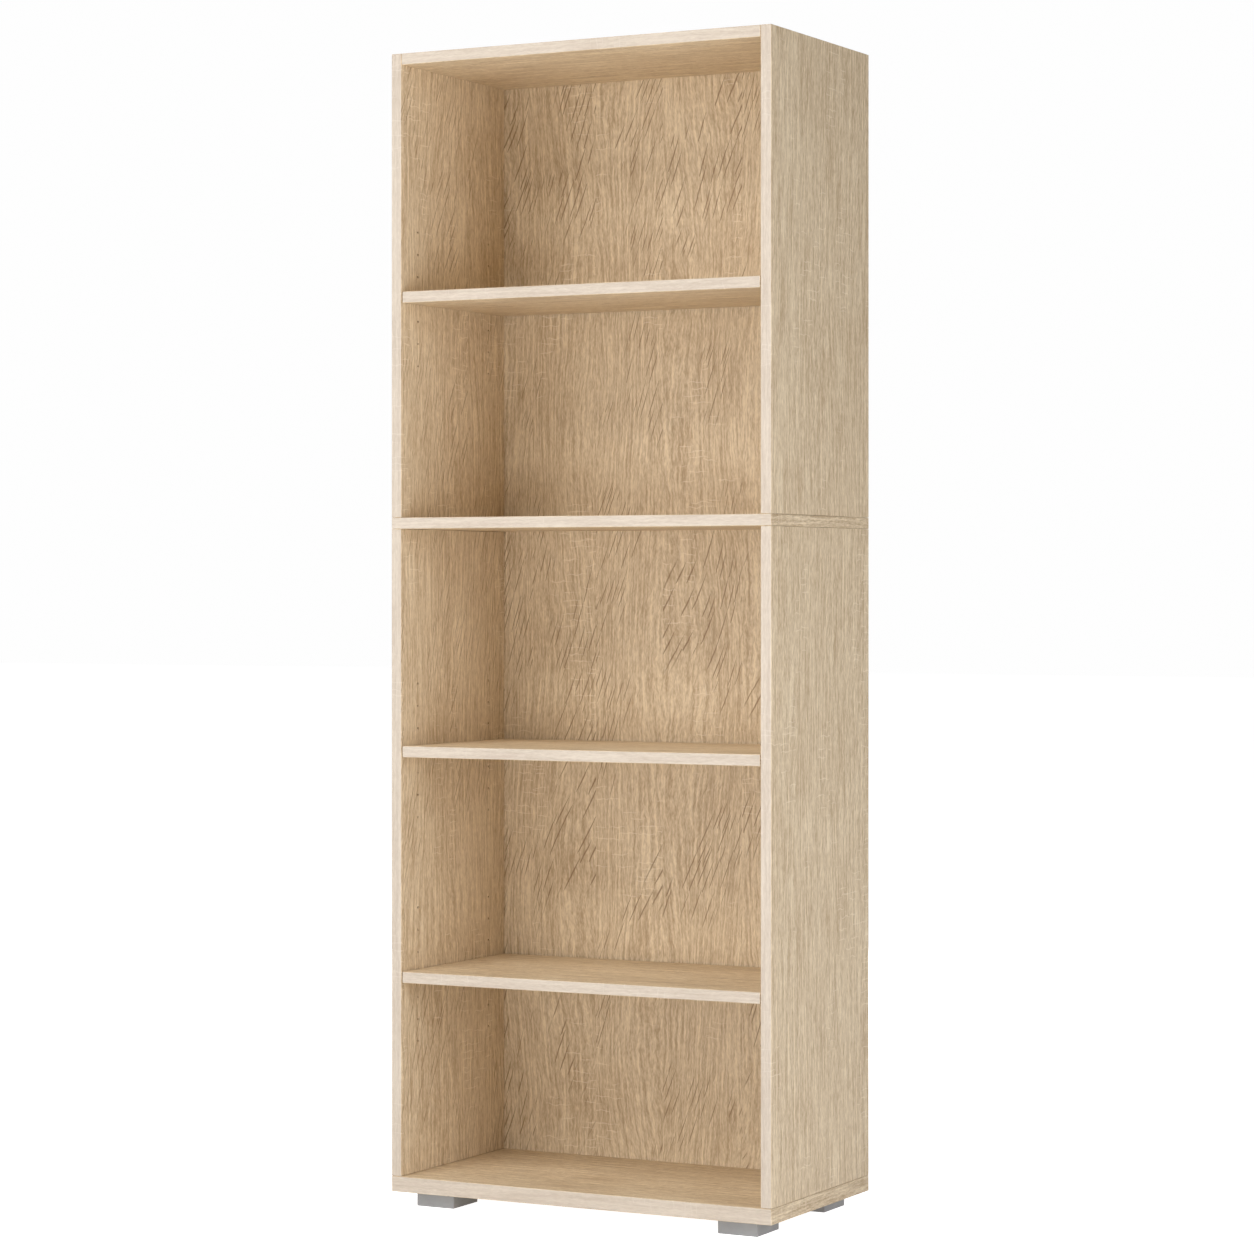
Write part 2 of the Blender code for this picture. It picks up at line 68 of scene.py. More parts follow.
class Tree:
    """Builds a node tree. Every call makes its nodes and gives back an output socket."""

    def __init__(self, tree):
        self.tree = tree

    def node(self, kind, **settings):
        node = self.tree.nodes.new(kind)
        for name, value in settings.items():
            setattr(node, name, value)
        return node

    def put(self, socket, value):
        if isinstance(value, bpy.types.NodeSocket):
            self.tree.links.new(value, socket)
        else:
            socket.default_value = value

    def math(self, operation, *values, clamp=False):
        node = self.node("ShaderNodeMath", operation=operation, use_clamp=clamp)
        for socket, value in zip(node.inputs, values):
            self.put(socket, value)
        return node.outputs[0]

    def add(self, *values):
        total = values[0]
        for value in values[1:]:
            total = self.math("ADD", total, value)
        return total

    def times(self, value, factor, offset=0.0):
        return self.math("MULTIPLY_ADD", value, factor, offset)

    def vector(self, x=0.0, y=0.0, z=0.0):
        node = self.node("ShaderNodeCombineXYZ")
        for socket, value in zip(node.inputs, (x, y, z)):
            self.put(socket, value)
        return node.outputs[0]

    def split(self, vector):
        node = self.node("ShaderNodeSeparateXYZ")
        self.put(node.inputs[0], vector)
        return node.outputs

    def noise(self, vector, detail=0.0, roughness=0.5, dimensions="3D", scale=1.0):
        """Noise round 0, mostly within 0.25 of it."""
        node = self.node("ShaderNodeTexNoise", noise_dimensions=dimensions)
        self.put(node.inputs["Vector"], vector)
        self.put(node.inputs["Scale"], scale)
        self.put(node.inputs["Detail"], detail)
        self.put(node.inputs["Roughness"], roughness)
        return self.math("SUBTRACT", node.outputs[0], 0.5)

    def grain(self, across, along, rates, detail=0.0, roughness=0.5, offset=0.0):
        """2-D noise with its own rate, per metre, on each axis."""
        x = self.times(across, rates[0], offset)
        y = self.times(along, rates[1], offset)
        return self.noise(self.vector(x, y), detail, roughness, "2D")

    def step(self, value, low, high):
        """0 below low, 1 above high, smooth between."""
        node = self.node("ShaderNodeMapRange", interpolation_type="SMOOTHSTEP")
        for name, number in (("Value", value), ("From Min", low), ("From Max", high)):
            self.put(node.inputs[name], number)
        return node.outputs[0]

    def blend(self, factor, first, second):
        """Between two numbers."""
        node = self.node("ShaderNodeMix", data_type="FLOAT")
        for socket, value in zip(node.inputs, (factor, None, first, second)):
            if value is not None:
                self.put(socket, value)
        return node.outputs[0]

    def mix(self, factor, first, second, blend="MIX"):
        """Between two colours."""
        node = self.node("ShaderNodeMix", data_type="RGBA", blend_type=blend)
        self.put(node.inputs[0], factor)
        self.put(node.inputs[6], first)
        self.put(node.inputs[7], second)
        return node.outputs[2]

    def bump(self, height, strength, distance):
        node = self.node("ShaderNodeBump")
        self.put(node.inputs["Strength"], strength)
        self.put(node.inputs["Distance"], distance)
        self.put(node.inputs["Height"], height)
        return node.outputs[0]

    def strokes(self, across, along, cell, half, keep, seed):
        """Thin lines that run along and thin out upwards, one in each kept cell of a jittered grid.
        cell and half, the half width and half length of a line, are (across, along) in metres."""
        cells = self.node("ShaderNodeTexVoronoi", voronoi_dimensions="2D", feature="F1")
        x = self.times(across, 1 / cell[0], seed)
        y = self.times(along, 1 / cell[1], seed / 3)
        self.put(cells.inputs["Vector"], self.vector(x, y))
        self.put(cells.inputs["Scale"], 1.0)
        self.put(cells.inputs["Randomness"], STROKE_JITTER)
        centre = self.split(cells.outputs["Position"])
        chance = self.split(cells.outputs["Color"])
        off_x = self.math("ABSOLUTE", self.math("SUBTRACT", x, centre[X]))
        least, more = (share * half[1] / cell[1] for share in STROKE_LENGTH)
        reach = self.times(chance[Y], more, least)
        way = self.math("DIVIDE", self.math("SUBTRACT", y, centre[Y]), reach)
        taper = self.math("SUBTRACT", 1.0, self.math("ABSOLUTE", way), clamp=True)
        narrowing = self.times(way, STROKE_WIDTH[1], STROKE_WIDTH[0])
        wide = self.math("MULTIPLY", self.math("SQRT", taper), narrowing)
        wide = self.times(wide, half[0] / cell[0], LEAST_WIDTH)
        body = self.math("SUBTRACT", 1.0, self.math("DIVIDE", off_x, wide), clamp=True)
        kept = self.math("GREATER_THAN", chance[X], 1 - keep)
        return self.math("MULTIPLY", body, kept)


def new_material(name):
    material = bpy.data.materials.new(name)
    material.use_nodes = True
    shader = material.node_tree.nodes["Principled BSDF"]
    return material, Tree(material.node_tree), shader


def set_material(obj, material):
    obj.data.materials.clear()
    obj.data.materials.append(material)


# Oak decor

OAK_LIGHT = (0.82, 0.672, 0.455, 1)
OAK_DARK = (0.485, 0.347, 0.201, 1)
OAK_CRACK = (0.24, 0.135, 0.06, 1)
OAK_PORE = (0.36, 0.245, 0.13, 1)
OAK_PALE = (0.90, 0.77, 0.58, 1)
OAK_EDGE = (0.66, 0.535, 0.395, 1)
BAND_SHADE = (0.81, 0.855, 0.96, 1)
BAND_EDGE = 0.6  # how far the band goes from the print to OAK_EDGE
BAND_FIGURE = 0.15
OAK_ROUGHNESS = 0.50
OAK_RELIEF = (0.35, 0.0005)  # strength and distance
CHIP_DARK = (0.46, 0.32, 0.19, 1)
CHIP_LIGHT = (0.82, 0.66, 0.46, 1)
CHIPS_PER_METRE = 900.0
HARDBOARD_DARK = (0.27, 0.165, 0.088, 1)
HARDBOARD_LIGHT = (0.43, 0.285, 0.165, 1)
SKIN = 0.001  # a narrow face deeper than this below the board's outline is inside the board
SQUARE_ON = 0.5  # a face is square to an axis if its normal goes further than this along it

PLANKS_PER_METRE = 9.0
PLANK_START = 3.3
PLANK_JITTER = 0.75
PLANK_SHIFT = 7.0  # metres along, between planks at most
PLANK_TONE = 0.10
DRIFT = 0.085  # metres sideways for each unit of noise, as are the next three
SWAY = 0.0065
WIGGLE = 0.0016
LEAN_WIGGLE = {"cracks": 0.0008, "pores": 0.0010}
LEAN = {"cracks": -0.38, "pores": -0.14, "flakes": 0.08}  # metres sideways for each metre along
MARKS = {  # cell and half size, each (across, along) the mark, share of the cells with one, seed
    "cracks": ((0.0110, 0.052), (0.0019, 0.034), 0.70, 0.31),
    "pores": ((0.0044, 0.023), (0.0008, 0.012), 0.55, 5.7),
    "flakes": ((0.0050, 0.024), (0.0013, 0.013), 0.60, 2.9),
    "saw": ((0.010, 0.040), (0.0016, 0.022), 0.60, 8.1),
}


def oak_group():
    """The print of rough-sawn oak. Across and Along are metres on the face, and Figure is
    how lively the print is."""
    group = bpy.data.node_groups.new("oak_decor", "ShaderNodeTree")
    for name in ("Across", "Along", "Figure"):
        group.interface.new_socket(name, in_out="INPUT", socket_type="NodeSocketFloat")
    group.interface.new_socket("Color", in_out="OUTPUT", socket_type="NodeSocketColor")
    group.interface.new_socket("Height", in_out="OUTPUT", socket_type="NodeSocketFloat")
    t = Tree(group)
    across, along, figure = list(t.node("NodeGroupInput").outputs)[:3]

    # Planks about 100 mm wide, each with its own tone and its own figure
    planks = t.node("ShaderNodeTexVoronoi", voronoi_dimensions="1D", feature="F1")
    t.put(planks.inputs["W"], t.times(across, PLANKS_PER_METRE, PLANK_START))
    t.put(planks.inputs["Scale"], 1.0)
    t.put(planks.inputs["Randomness"], PLANK_JITTER)
    plank = t.split(planks.outputs["Color"])
    run = t.times(plank[Y], PLANK_SHIFT, along)

    # The flow of the grain: a slow drift sideways, a quicker one and a fine wiggle
    slow = t.grain(across, run, (6, 1.7))
    quick = t.grain(across, run, (22, 15), 1.0, offset=7)
    wiggle = t.grain(across, run, (90, 75), offset=3)
    drifted = t.add(across, t.times(t.math("MULTIPLY", slow, figure), DRIFT))
    sway = t.times(t.math("MULTIPLY", quick, figure), SWAY)
    bent = t.add(drifted, sway, t.times(wiggle, WIGGLE))

    # Streaks in four sizes, and soft mottles and clouds
    broad = t.grain(bent, run, (60, 5), 2.0, 0.6)
    lines = t.grain(bent, run, (230, 8), 1.0, 0.7, offset=4)
    fine = t.grain(bent, run, (340, 60), 2.0, 0.6)
    hair = t.grain(bent, run, (900, 160), 1.0)
    mottle = t.grain(drifted, run, (70, 32), 2.0, 0.6, offset=6)
    cloud = t.grain(across, run, (9, 4.5), 1.0, offset=2)

    # Dark cracks and pores lean to one side of the grain, and pale flakes lean to the other
    patches = t.grain(across, run, (8, 5), 1.0, offset=5)
    cracked = t.math("MULTIPLY", t.step(patches, -0.01, 0.07), t.math("MINIMUM", figure, 1.0))
    dark = {}
    for kind in ("cracks", "pores"):
        leaning = t.add(drifted, t.times(along, LEAN[kind]), t.times(wiggle, LEAN_WIGGLE[kind]))
        dark[kind] = t.strokes(leaning, run, *MARKS[kind])
    cracks = t.math("MULTIPLY", dark["cracks"], cracked)
    pores = dark["pores"]
    leaning = t.add(bent, t.times(along, LEAN["flakes"]))
    flakes = t.strokes(leaning, run, *MARKS["flakes"])

    # Pale marks of the saw, square to the grain, in a few patches
    sawn = t.step(t.grain(across, run, (11, 5), offset=1), 0.07, 0.16)
    level = t.add(run, t.times(quick, 0.006), t.times(wiggle, 0.004))
    saw = t.strokes(level, across, *MARKS["saw"])
    saw = t.math("MULTIPLY", saw, sawn)

    # Each size's share in the tone, then each kind of mark at its strength
    tone = 0.5
    shares = ((broad, 0.45), (lines, 1.4), (fine, 1.2), (hair, 0.8), (mottle, 0.25), (cloud, 0.25))
    for value, share in shares:
        tone = t.times(value, share, tone)
    tone = t.math("ADD", tone, t.times(plank[X], PLANK_TONE, -PLANK_TONE / 2), clamp=True)
    color = t.mix(tone, OAK_DARK, OAK_LIGHT)
    marks = (
        (flakes, 0.25, OAK_PALE),
        (saw, 0.55, OAK_PALE),
        (pores, 0.50, OAK_PORE),
        (cracks, 0.95, OAK_CRACK),
    )
    for mark, strength, tint in marks:
        color = t.mix(t.times(mark, strength), color, tint)

    height = t.times(fine, 1.2, t.times(flakes, 0.3))
    height = t.math("SUBTRACT", height, t.math("ADD", t.times(cracks, 0.8), t.times(pores, 0.3)))
    out = t.node("NodeGroupOutput")
    t.put(out.inputs[0], color)
    t.put(out.inputs[1], height)
    return group


def hardboard(t, place):
    """Bare brown fibreboard: felted fibres and soft clouds."""
    fibres = t.noise(t.vector(*place), 3.0, 0.7, scale=420)
    cloud = t.noise(t.vector(*place), 1.0, scale=14)
    tone = t.add(0.5, t.times(fibres, 1.6), t.times(cloud, 0.8))
    return t.mix(tone, HARDBOARD_DARK, HARDBOARD_LIGHT)


def oak_material(name, box, grain_axis, thin_axis, offset, figure):
    """Oak decor on one board: the print along grain_axis, a band on its long narrow faces, and
    bare chipboard inside. The rear of a board that is thin along Y is bare fibreboard."""
    material, t, shader = new_material(name)
    wide_axis = 3 - grain_axis - thin_axis
    place = t.split(t.node("ShaderNodeTexCoord").outputs["Object"])
    normal = t.split(t.node("ShaderNodeNewGeometry").outputs["True Normal"])
    facing = [t.math("ABSOLUTE", component) for component in normal]
    narrow = t.math("LESS_THAN", facing[thin_axis], SQUARE_ON)
    on_end = t.math("GREATER_THAN", facing[grain_axis], SQUARE_ON)

    # On an end face the print runs along the edge instead
    across = t.math("ADD", place[wide_axis], place[thin_axis])
    across = t.blend(on_end, across, place[thin_axis])
    along = t.blend(on_end, place[grain_axis], place[wide_axis])
    oak = t.node("ShaderNodeGroup")
    oak.node_tree = bpy.data.node_groups["oak_decor"]
    t.put(oak.inputs["Across"], t.math("ADD", across, offset[0]))
    t.put(oak.inputs["Along"], t.math("ADD", along, offset[1]))
    t.put(oak.inputs["Figure"], t.blend(narrow, figure, BAND_FIGURE))
    color = oak.outputs["Color"]
    band = t.mix(1.0, t.mix(BAND_EDGE, color, OAK_EDGE), BAND_SHADE, "MULTIPLY")
    color = t.mix(t.math("MULTIPLY", narrow, t.math("SUBTRACT", 1.0, on_end)), color, band)

    # Inside a hole, a kerf or a groove the chipboard is bare
    low, high = box
    inside = narrow
    for axis in (wide_axis, grain_axis):
        above = t.math("GREATER_THAN", place[axis], low[axis] + SKIN)
        inside = t.math("MULTIPLY", inside, above)
        below = t.math("LESS_THAN", place[axis], high[axis] - SKIN)
        inside = t.math("MULTIPLY", inside, below)
    chips = t.node("ShaderNodeTexVoronoi", voronoi_dimensions="3D", feature="F1")
    t.put(chips.inputs["Vector"], t.vector(*place))
    t.put(chips.inputs["Scale"], CHIPS_PER_METRE)
    chip = t.mix(t.split(chips.outputs["Color"])[X], CHIP_DARK, CHIP_LIGHT)
    color = t.mix(inside, color, chip)
    if thin_axis == Y:
        at_rear = t.math("GREATER_THAN", normal[Y], SQUARE_ON)
        color = t.mix(at_rear, color, hardboard(t, place))

    t.put(shader.inputs["Base Color"], color)
    t.put(shader.inputs["Roughness"], t.times(oak.outputs["Height"], -0.15, OAK_ROUGHNESS))
    shader.inputs["Specular IOR Level"].default_value = 0.5
    t.put(shader.inputs["Normal"], t.bump(oak.outputs["Height"], *OAK_RELIEF))
    return material


def finish_boards():
    """A material for each board, with its own stretch of the print, which runs on from the lower
    back sheet to the upper one."""
    oak_group()
    boards = {  # grain axis, thin axis, offset in the print across and along, figure
        "lower_side_left": (Z, X, (1.37, 2.1), 0.8),
        "lower_side_right": (Z, X, (0.41, 0.9), 0.35),
        "upper_side_left": (Z, X, (2.77, 4.3), 0.8),
        "upper_side_right": (Z, X, (3.61, 6.7), 0.35),
        "bottom_panel": (X, Z, (4.13, 1.9), 0.5),
        "middle_panel": (X, Z, (5.29, 3.1), 0.5),
        "top_panel": (X, Z, (6.43, 5.3), 0.5),
        "upper_shelf": (X, Z, (7.31, 7.7), 0.5),
        "lower_shelf_high": (X, Z, (8.17, 8.9), 0.5),
        "lower_shelf_low": (X, Z, (9.53, 9.3), 0.5),
        "back_panel_lower": (Z, Y, (10.7, 0.0), 1.0),
        "back_panel_upper": (Z, Y, (10.7, 0.0), 1.0),
    }
    for name, (grain_axis, thin_axis, offset, figure) in boards.items():
        material = oak_material("oak_" + name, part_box(name), grain_axis, thin_axis, offset, figure)
        set_material(nodes[name], material)


# Plain materials of the feet and fittings

FINE_RELIEF = 0.0001
PLASTIC_DARK = (0.29, 0.29, 0.288, 1)
PLASTIC_LIGHT = (0.36, 0.36, 0.355, 1)
BEECH_DARK = (0.55, 0.37, 0.21, 1)
BEECH_LIGHT = (0.78, 0.60, 0.41, 1)
BEECH_FLECK = (0.40, 0.25, 0.13, 1)
CLOUD_SIZE = 12  # how much larger the clouds in metal are than its grain


def plastic_material(name):
    """Silver-grey moulded plastic with a fine spark-eroded grain."""
    material, t, shader = new_material(name)
    place = t.node("ShaderNodeTexCoord").outputs["Object"]
    grain = t.noise(place, 2.0, 0.6, scale=2200)
    flow = t.noise(place, 1.0, scale=60)
    tone = t.add(0.5, t.times(grain, 0.9), t.times(flow, 0.9))
    t.put(shader.inputs["Base Color"], t.mix(tone, PLASTIC_DARK, PLASTIC_LIGHT))
    t.put(shader.inputs["Roughness"], t.times(grain, 0.25, 0.45))
    t.put(shader.inputs["Normal"], t.bump(grain, 0.25, FINE_RELIEF))
    return material


def metal_material(name, dark, light, roughness, rate, bump):
    """Bare or plated metal: cloudy tone, fine grain and a little relief."""
    material, t, shader = new_material(name)
    place = t.node("ShaderNodeTexCoord").outputs["Object"]
    grain = t.noise(place, 3.0, 0.6, scale=rate)
    cloud = t.noise(place, 1.0, scale=rate / CLOUD_SIZE)
    tone = t.add(0.5, t.times(grain, 0.8), t.times(cloud, 1.0))
    t.put(shader.inputs["Base Color"], t.mix(tone, dark, light))
    t.put(shader.inputs["Roughness"], t.times(grain, 0.3, roughness))
    shader.inputs["Metallic"].default_value = 1.0
    t.put(shader.inputs["Normal"], t.bump(grain, bump, FINE_RELIEF))
    return material


def beech_material(name):
    """Beech along Z, with the short dark flecks of its rays."""
    material, t, shader = new_material(name)
    place = t.split(t.node("ShaderNodeTexCoord").outputs["Object"])

    def at_rates(*rates):
        return t.vector(*[t.times(place[axis], rate) for axis, rate in zip((X, Y, Z), rates)])

    streaks = t.noise(at_rates(900, 900, 60), 2.0)
    flecks = t.noise(at_rates(2500, 2500, 500))
    tone = t.times(streaks, 1.6, 0.5)
    color = t.mix(tone, BEECH_DARK, BEECH_LIGHT)
    color = t.mix(t.step(flecks, 0.12, 0.2), color, BEECH_FLECK)
    t.put(shader.inputs["Base Color"], color)
    t.put(shader.inputs["Roughness"], t.times(streaks, 0.2, 0.7))
    t.put(shader.inputs["Normal"], t.bump(streaks, 0.4, FINE_RELIEF))
    return material


# Meshes of the fittings

SEGMENTS = 48
THREAD_RINGS = 8  # for each turn of a thread
ROUNDING_STEPS = 5
SMOOTH_ANGLE = math.radians(35)
MERGE = 0.00001
TINY = 1e-6
HEX = math.radians(60)
QUARTER = math.radians(90)
CROSS_ARM = 0.22  # half its width, as a share of its length
FLUTES = 12
FLUTE_DEPTH = 0.0004


def round_reach(radius, angle):
    return radius


def hex_reach(radius, angle):
    """From the axis to a hexagon whose corners are at radius."""
    return radius * math.cos(HEX / 2) / math.cos(angle % HEX - HEX / 2)


def cross_reach(radius, angle):
    """From the axis to the outline of a cross with arms as long as radius."""
    off = abs((angle + QUARTER / 2) % QUARTER - QUARTER / 2)
    half_arm = radius * CROSS_ARM
    return min(radius / math.cos(off), half_arm / max(math.sin(off), TINY))


def fluted_reach(radius, angle):
    """From the axis to a round outline with narrow flutes."""
    flute = 0.5 + 0.5 * math.cos(FLUTES * angle)
    return radius - FLUTE_DEPTH * flute ** 3


def threaded_rings(profile, thread):
    """The profile with extra rings between the two heights of the thread."""
    top, bottom, pitch, _ = thread
    count = round((top - bottom) / pitch * THREAD_RINGS)
    rings = []
    for ring, following in zip(profile, profile[1:]):
        rings.append(ring)
        if abs(ring[1] - top) < TINY and abs(following[1] - bottom) < TINY:
            for i in range(1, count):
                rings.append((ring[0], top + (bottom - top) * i / count, ring[2]))
    return rings + [profile[-1]]


def thread_cut(thread, height, angle):
    """The depth of a thread's groove, which fades out over a pitch at its top and its bottom."""
    top, bottom, pitch, depth = thread
    if not bottom < height < top:
        return 0.0
    fade = min(1, (top - height) / pitch, (height - bottom) / pitch)
    wave = 0.5 + 0.5 * math.cos(2 * math.pi * height / pitch + angle)
    return depth * fade * wave


def turned(name, profile, thread=None):
    """A mesh round Z through rings of (radius, height, outline), of which the first and the last
    are points on the axis. thread is (height of its top, height of its bottom, pitch, depth)."""
    rings = threaded_rings(profile, thread) if thread else profile
    bm = bmesh.new()
    previous = None
    for radius, height, outline in rings:
        if radius == 0:
            ring = [bm.verts.new((0, 0, height))]
        else:
            ring = []
            for i in range(SEGMENTS):
                angle = 2 * math.pi * i / SEGMENTS
                reach = outline(radius, angle)
                if thread:
                    reach -= thread_cut(thread, height, angle)
                place = (reach * math.cos(angle), reach * math.sin(angle), height)
                ring.append(bm.verts.new(place))
        if previous:
            join_rings(bm, previous, ring)
        previous = ring
    return finished_mesh(name, bm)


def join_rings(bm, first, second):
    """Faces between two rings, either of which may be a single point."""
    for i in range(SEGMENTS):
        j = (i + 1) % SEGMENTS
        if len(first) == 1:
            bm.faces.new((first[0], second[i], second[j]))
        elif len(second) == 1:
            bm.faces.new((first[i], second[0], first[j]))
        else:
            bm.faces.new((first[i], second[i], second[j], first[j]))


def finished_mesh(name, bm):
    bmesh.ops.recalc_face_normals(bm, faces=bm.faces)
    mesh = bpy.data.meshes.new(name)
    bm.to_mesh(mesh)
    bm.free()
    smooth(mesh)
    return mesh


def smooth(mesh):
    mesh.shade_smooth()
    mesh.set_sharp_from_angle(angle=SMOOTH_ANGLE)


def block(low, high, rounding=0.0):
    """A box as a bmesh, with its edges rounded."""
    bm = bmesh.new()
    bmesh.ops.create_cube(bm, size=1.0)
    low, high = Vector(low), Vector(high)
    bmesh.ops.scale(bm, vec=high - low, verts=bm.verts)
    bmesh.ops.translate(bm, vec=(low + high) / 2, verts=bm.verts)
    if rounding:
        edges = bm.edges[:]
        bmesh.ops.bevel(
            bm, geom=edges, offset=rounding, segments=ROUNDING_STEPS, profile=0.5, affect="EDGES"
        )
    return bm


def without(mesh, cutters):
    """The mesh less the cutters' meshes, in triangles that leave no gap."""
    base = bpy.data.objects.new("base", mesh)
    scene.collection.objects.link(base)
    tools = []
    for cutter in cutters:
        tool = bpy.data.objects.new("tool", cutter)
        scene.collection.objects.link(tool)
        tools.append(tool)
        boolean = base.modifiers.new("Cut", "BOOLEAN")
        boolean.operation = "DIFFERENCE"
        boolean.solver = "EXACT"
        boolean.object = tool
    bpy.context.view_layer.update()
    evaluated = base.evaluated_get(bpy.context.evaluated_depsgraph_get())
    result = bpy.data.meshes.new_from_object(evaluated)
    for obj in [base, *tools]:
        bpy.data.objects.remove(obj)
    bm = bmesh.new()
    bm.from_mesh(result)
    bmesh.ops.triangulate(bm, faces=bm.faces)
    bmesh.ops.remove_doubles(bm, verts=bm.verts, dist=MERGE)
    bmesh.ops.dissolve_degenerate(bm, edges=bm.edges, dist=MERGE)
    bm.to_mesh(result)
    bm.free()
    smooth(result)
    return result


def moved(mesh, offset):
    mesh.transform(Matrix.Translation(offset))
    return mesh


def stand_in(node, mesh, finish, location=(0, 0, 0), axis=UP, turn=0.0):
    """A fine mesh in place of a CAD node, turned round its own Z, which points along axis."""
    slot, material = finish
    if not mesh.materials:
        mesh.materials.append(material)
    piece = bpy.data.objects.new("fine_" + node, mesh)
    scene.collection.objects.link(piece)
    piece.location = location
    aim = UP.rotation_difference(Vector(axis)).to_matrix()
    piece.rotation_euler = (aim @ Matrix.Rotation(turn, 3, "Z")).to_euler()
    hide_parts(node)
    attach(piece, body_of[node])


# Feet

FOOT_WALL = 0.003
FOOT_LAND = 0.020
FOOT_ROUND = 0.0015
FOOT_RIB = 0.0014
FOOT_SCREW_OFFSET = 0.020
FOOT_BORE_R = 0.0047
FOOT_BORE_DEPTH = 0.012
FOOT_SCREW_HOLE_R = 0.0023
FOOT_CHAMFER = 0.0005
FOOT_CELLS = 3  # pockets in a row


def foot_mesh(size):
    """A moulded block round its own centre line, standing on Z = 0, with two rows of pockets
    that are open at the top and two stepped bores."""
    half_x, half_y, height = size.x / 2, size.y / 2, size.z
    outside = block((-half_x, -half_y, 0), (half_x, half_y, height), FOOT_ROUND)
    body = finished_mesh("foot", outside)
    cutters = []
    reach = half_y - FOOT_WALL
    cell = (2 * reach - (FOOT_CELLS - 1) * FOOT_RIB) / FOOT_CELLS
    for sign in (-1, 1):
        x = sorted((sign * FOOT_LAND / 2, sign * (half_x - FOOT_WALL)))
        for number in range(FOOT_CELLS):
            y = -reach + number * (cell + FOOT_RIB)
            pocket = block((x[0], y, FOOT_WALL), (x[1], y + cell, height + FOOT_WALL))
            cutters.append(finished_mesh("pocket", pocket))
        bore = [
            (0, height + FOOT_WALL, round_reach),
            (FOOT_SCREW_HOLE_R, height + FOOT_WALL, round_reach),
            (FOOT_SCREW_HOLE_R, FOOT_BORE_DEPTH, round_reach),
            (FOOT_BORE_R, FOOT_BORE_DEPTH, round_reach),
            (FOOT_BORE_R, FOOT_CHAMFER, round_reach),
            (FOOT_BORE_R + 2 * FOOT_CHAMFER, -FOOT_CHAMFER, round_reach),
            (0, -FOOT_CHAMFER, round_reach),
        ]
        cutters.append(moved(turned("bore", bore), (0, sign * FOOT_SCREW_OFFSET, 0)))
    return without(body, cutters)


def make_feet(plastic):
    mesh = None
    for node in sorted(nodes):
        if not node.startswith("foot_") or "screw" in node:
            continue
        low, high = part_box(node)
        mesh = mesh or foot_mesh(high - low)
        stand_in(node, mesh, plastic, ((low.x + high.x) / 2, (low.y + high.y) / 2, low.z))


# Screws

SCREW_RIM = 0.0003
SCREW_STEP = 0.0001  # between the head and the shank
PAN_HEIGHT = 0.6  # of a head that isn't a cone, as a share of its radius
SOCKET_FLOOR = 0.9  # as a share of the socket's radius
SCREW_TIP = 0.4  # this and the next two are shares of the shank's radius
THREAD_PITCH = 0.85
THREAD_DEPTH = 0.22
CONNECTOR = (0.005, 0.0035, 0.050, 0.0023, 0.0026, hex_reach, True)
SCREWS = {  # radius of head and shank, length, radius and depth of the socket, its outline, cone
    "base_screw": CONNECTOR,
    "middle_screw": CONNECTOR,
    "foot_screw": (0.0042, 0.002, 0.020, 0.0022, 0.0014, cross_reach, False),
}


def screw_profile(head_r, shank_r, length, socket_r, socket_depth, outline, cone):
    """A screw that points down from its head at Z = 0, with a socket of the given outline."""
    neck = head_r - shank_r if cone else PAN_HEIGHT * head_r
    top = -neck - SCREW_STEP
    rings = [
        (0, -socket_depth, round_reach),
        (socket_r * SOCKET_FLOOR, -socket_depth, outline),
        (socket_r, -SCREW_RIM, outline),
        (socket_r + SCREW_RIM, 0, outline),
        (head_r - SCREW_RIM, 0, round_reach),
        (head_r, -SCREW_RIM, round_reach),
    ]
    if not cone:
        rings.append((head_r, -neck, round_reach))
    rings += [
        (shank_r, top, round_reach),
        (shank_r, shank_r - length, round_reach),
        (shank_r * SCREW_TIP, -length, round_reach),
        (0, -length, round_reach),
    ]
    thread = (top, shank_r - length, shank_r * THREAD_PITCH, shank_r * THREAD_DEPTH)
    return rings, thread


def make_screws(steel):
    """Connecting screws with hexagon sockets, and the feet's screws with cross recesses."""
    for kind, sizes in SCREWS.items():
        mesh = turned(kind, *screw_profile(*sizes))
        for node in sorted(nodes):
            if not node.startswith(kind):
                continue
            low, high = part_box(node)
            middle = (low + high) / 2
            head_up = kind == "middle_screw"
            head_z = high.z if head_up else low.z
            axis = UP if head_up else -UP
            stand_in(node, mesh, steel, (middle.x, middle.y, head_z), axis)


# Dowels

DOWEL_CHAMFER = 0.0008


def make_dowels(beech):
    """Fluted dowels, with chamfered ends."""
    for node in sorted(nodes):
        if "_dowel_" not in node:
            continue
        low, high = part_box(node)
        size = high - low
        axis = max(range(3), key=lambda i: size[i])
        radius = sorted(size)[0] / 2
        half = size[axis] / 2
        rings = [
            (0, half, round_reach),
            (radius - DOWEL_CHAMFER, half, round_reach),
            (radius, half - DOWEL_CHAMFER, fluted_reach),
            (radius, DOWEL_CHAMFER - half, fluted_reach),
            (radius - DOWEL_CHAMFER, -half, round_reach),
            (0, -half, round_reach),
        ]
        direction = Vector([float(i == axis) for i in range(3)])
        stand_in(node, turned(node, rings), beech, (low + high) / 2, direction)


# Cams and their bolts

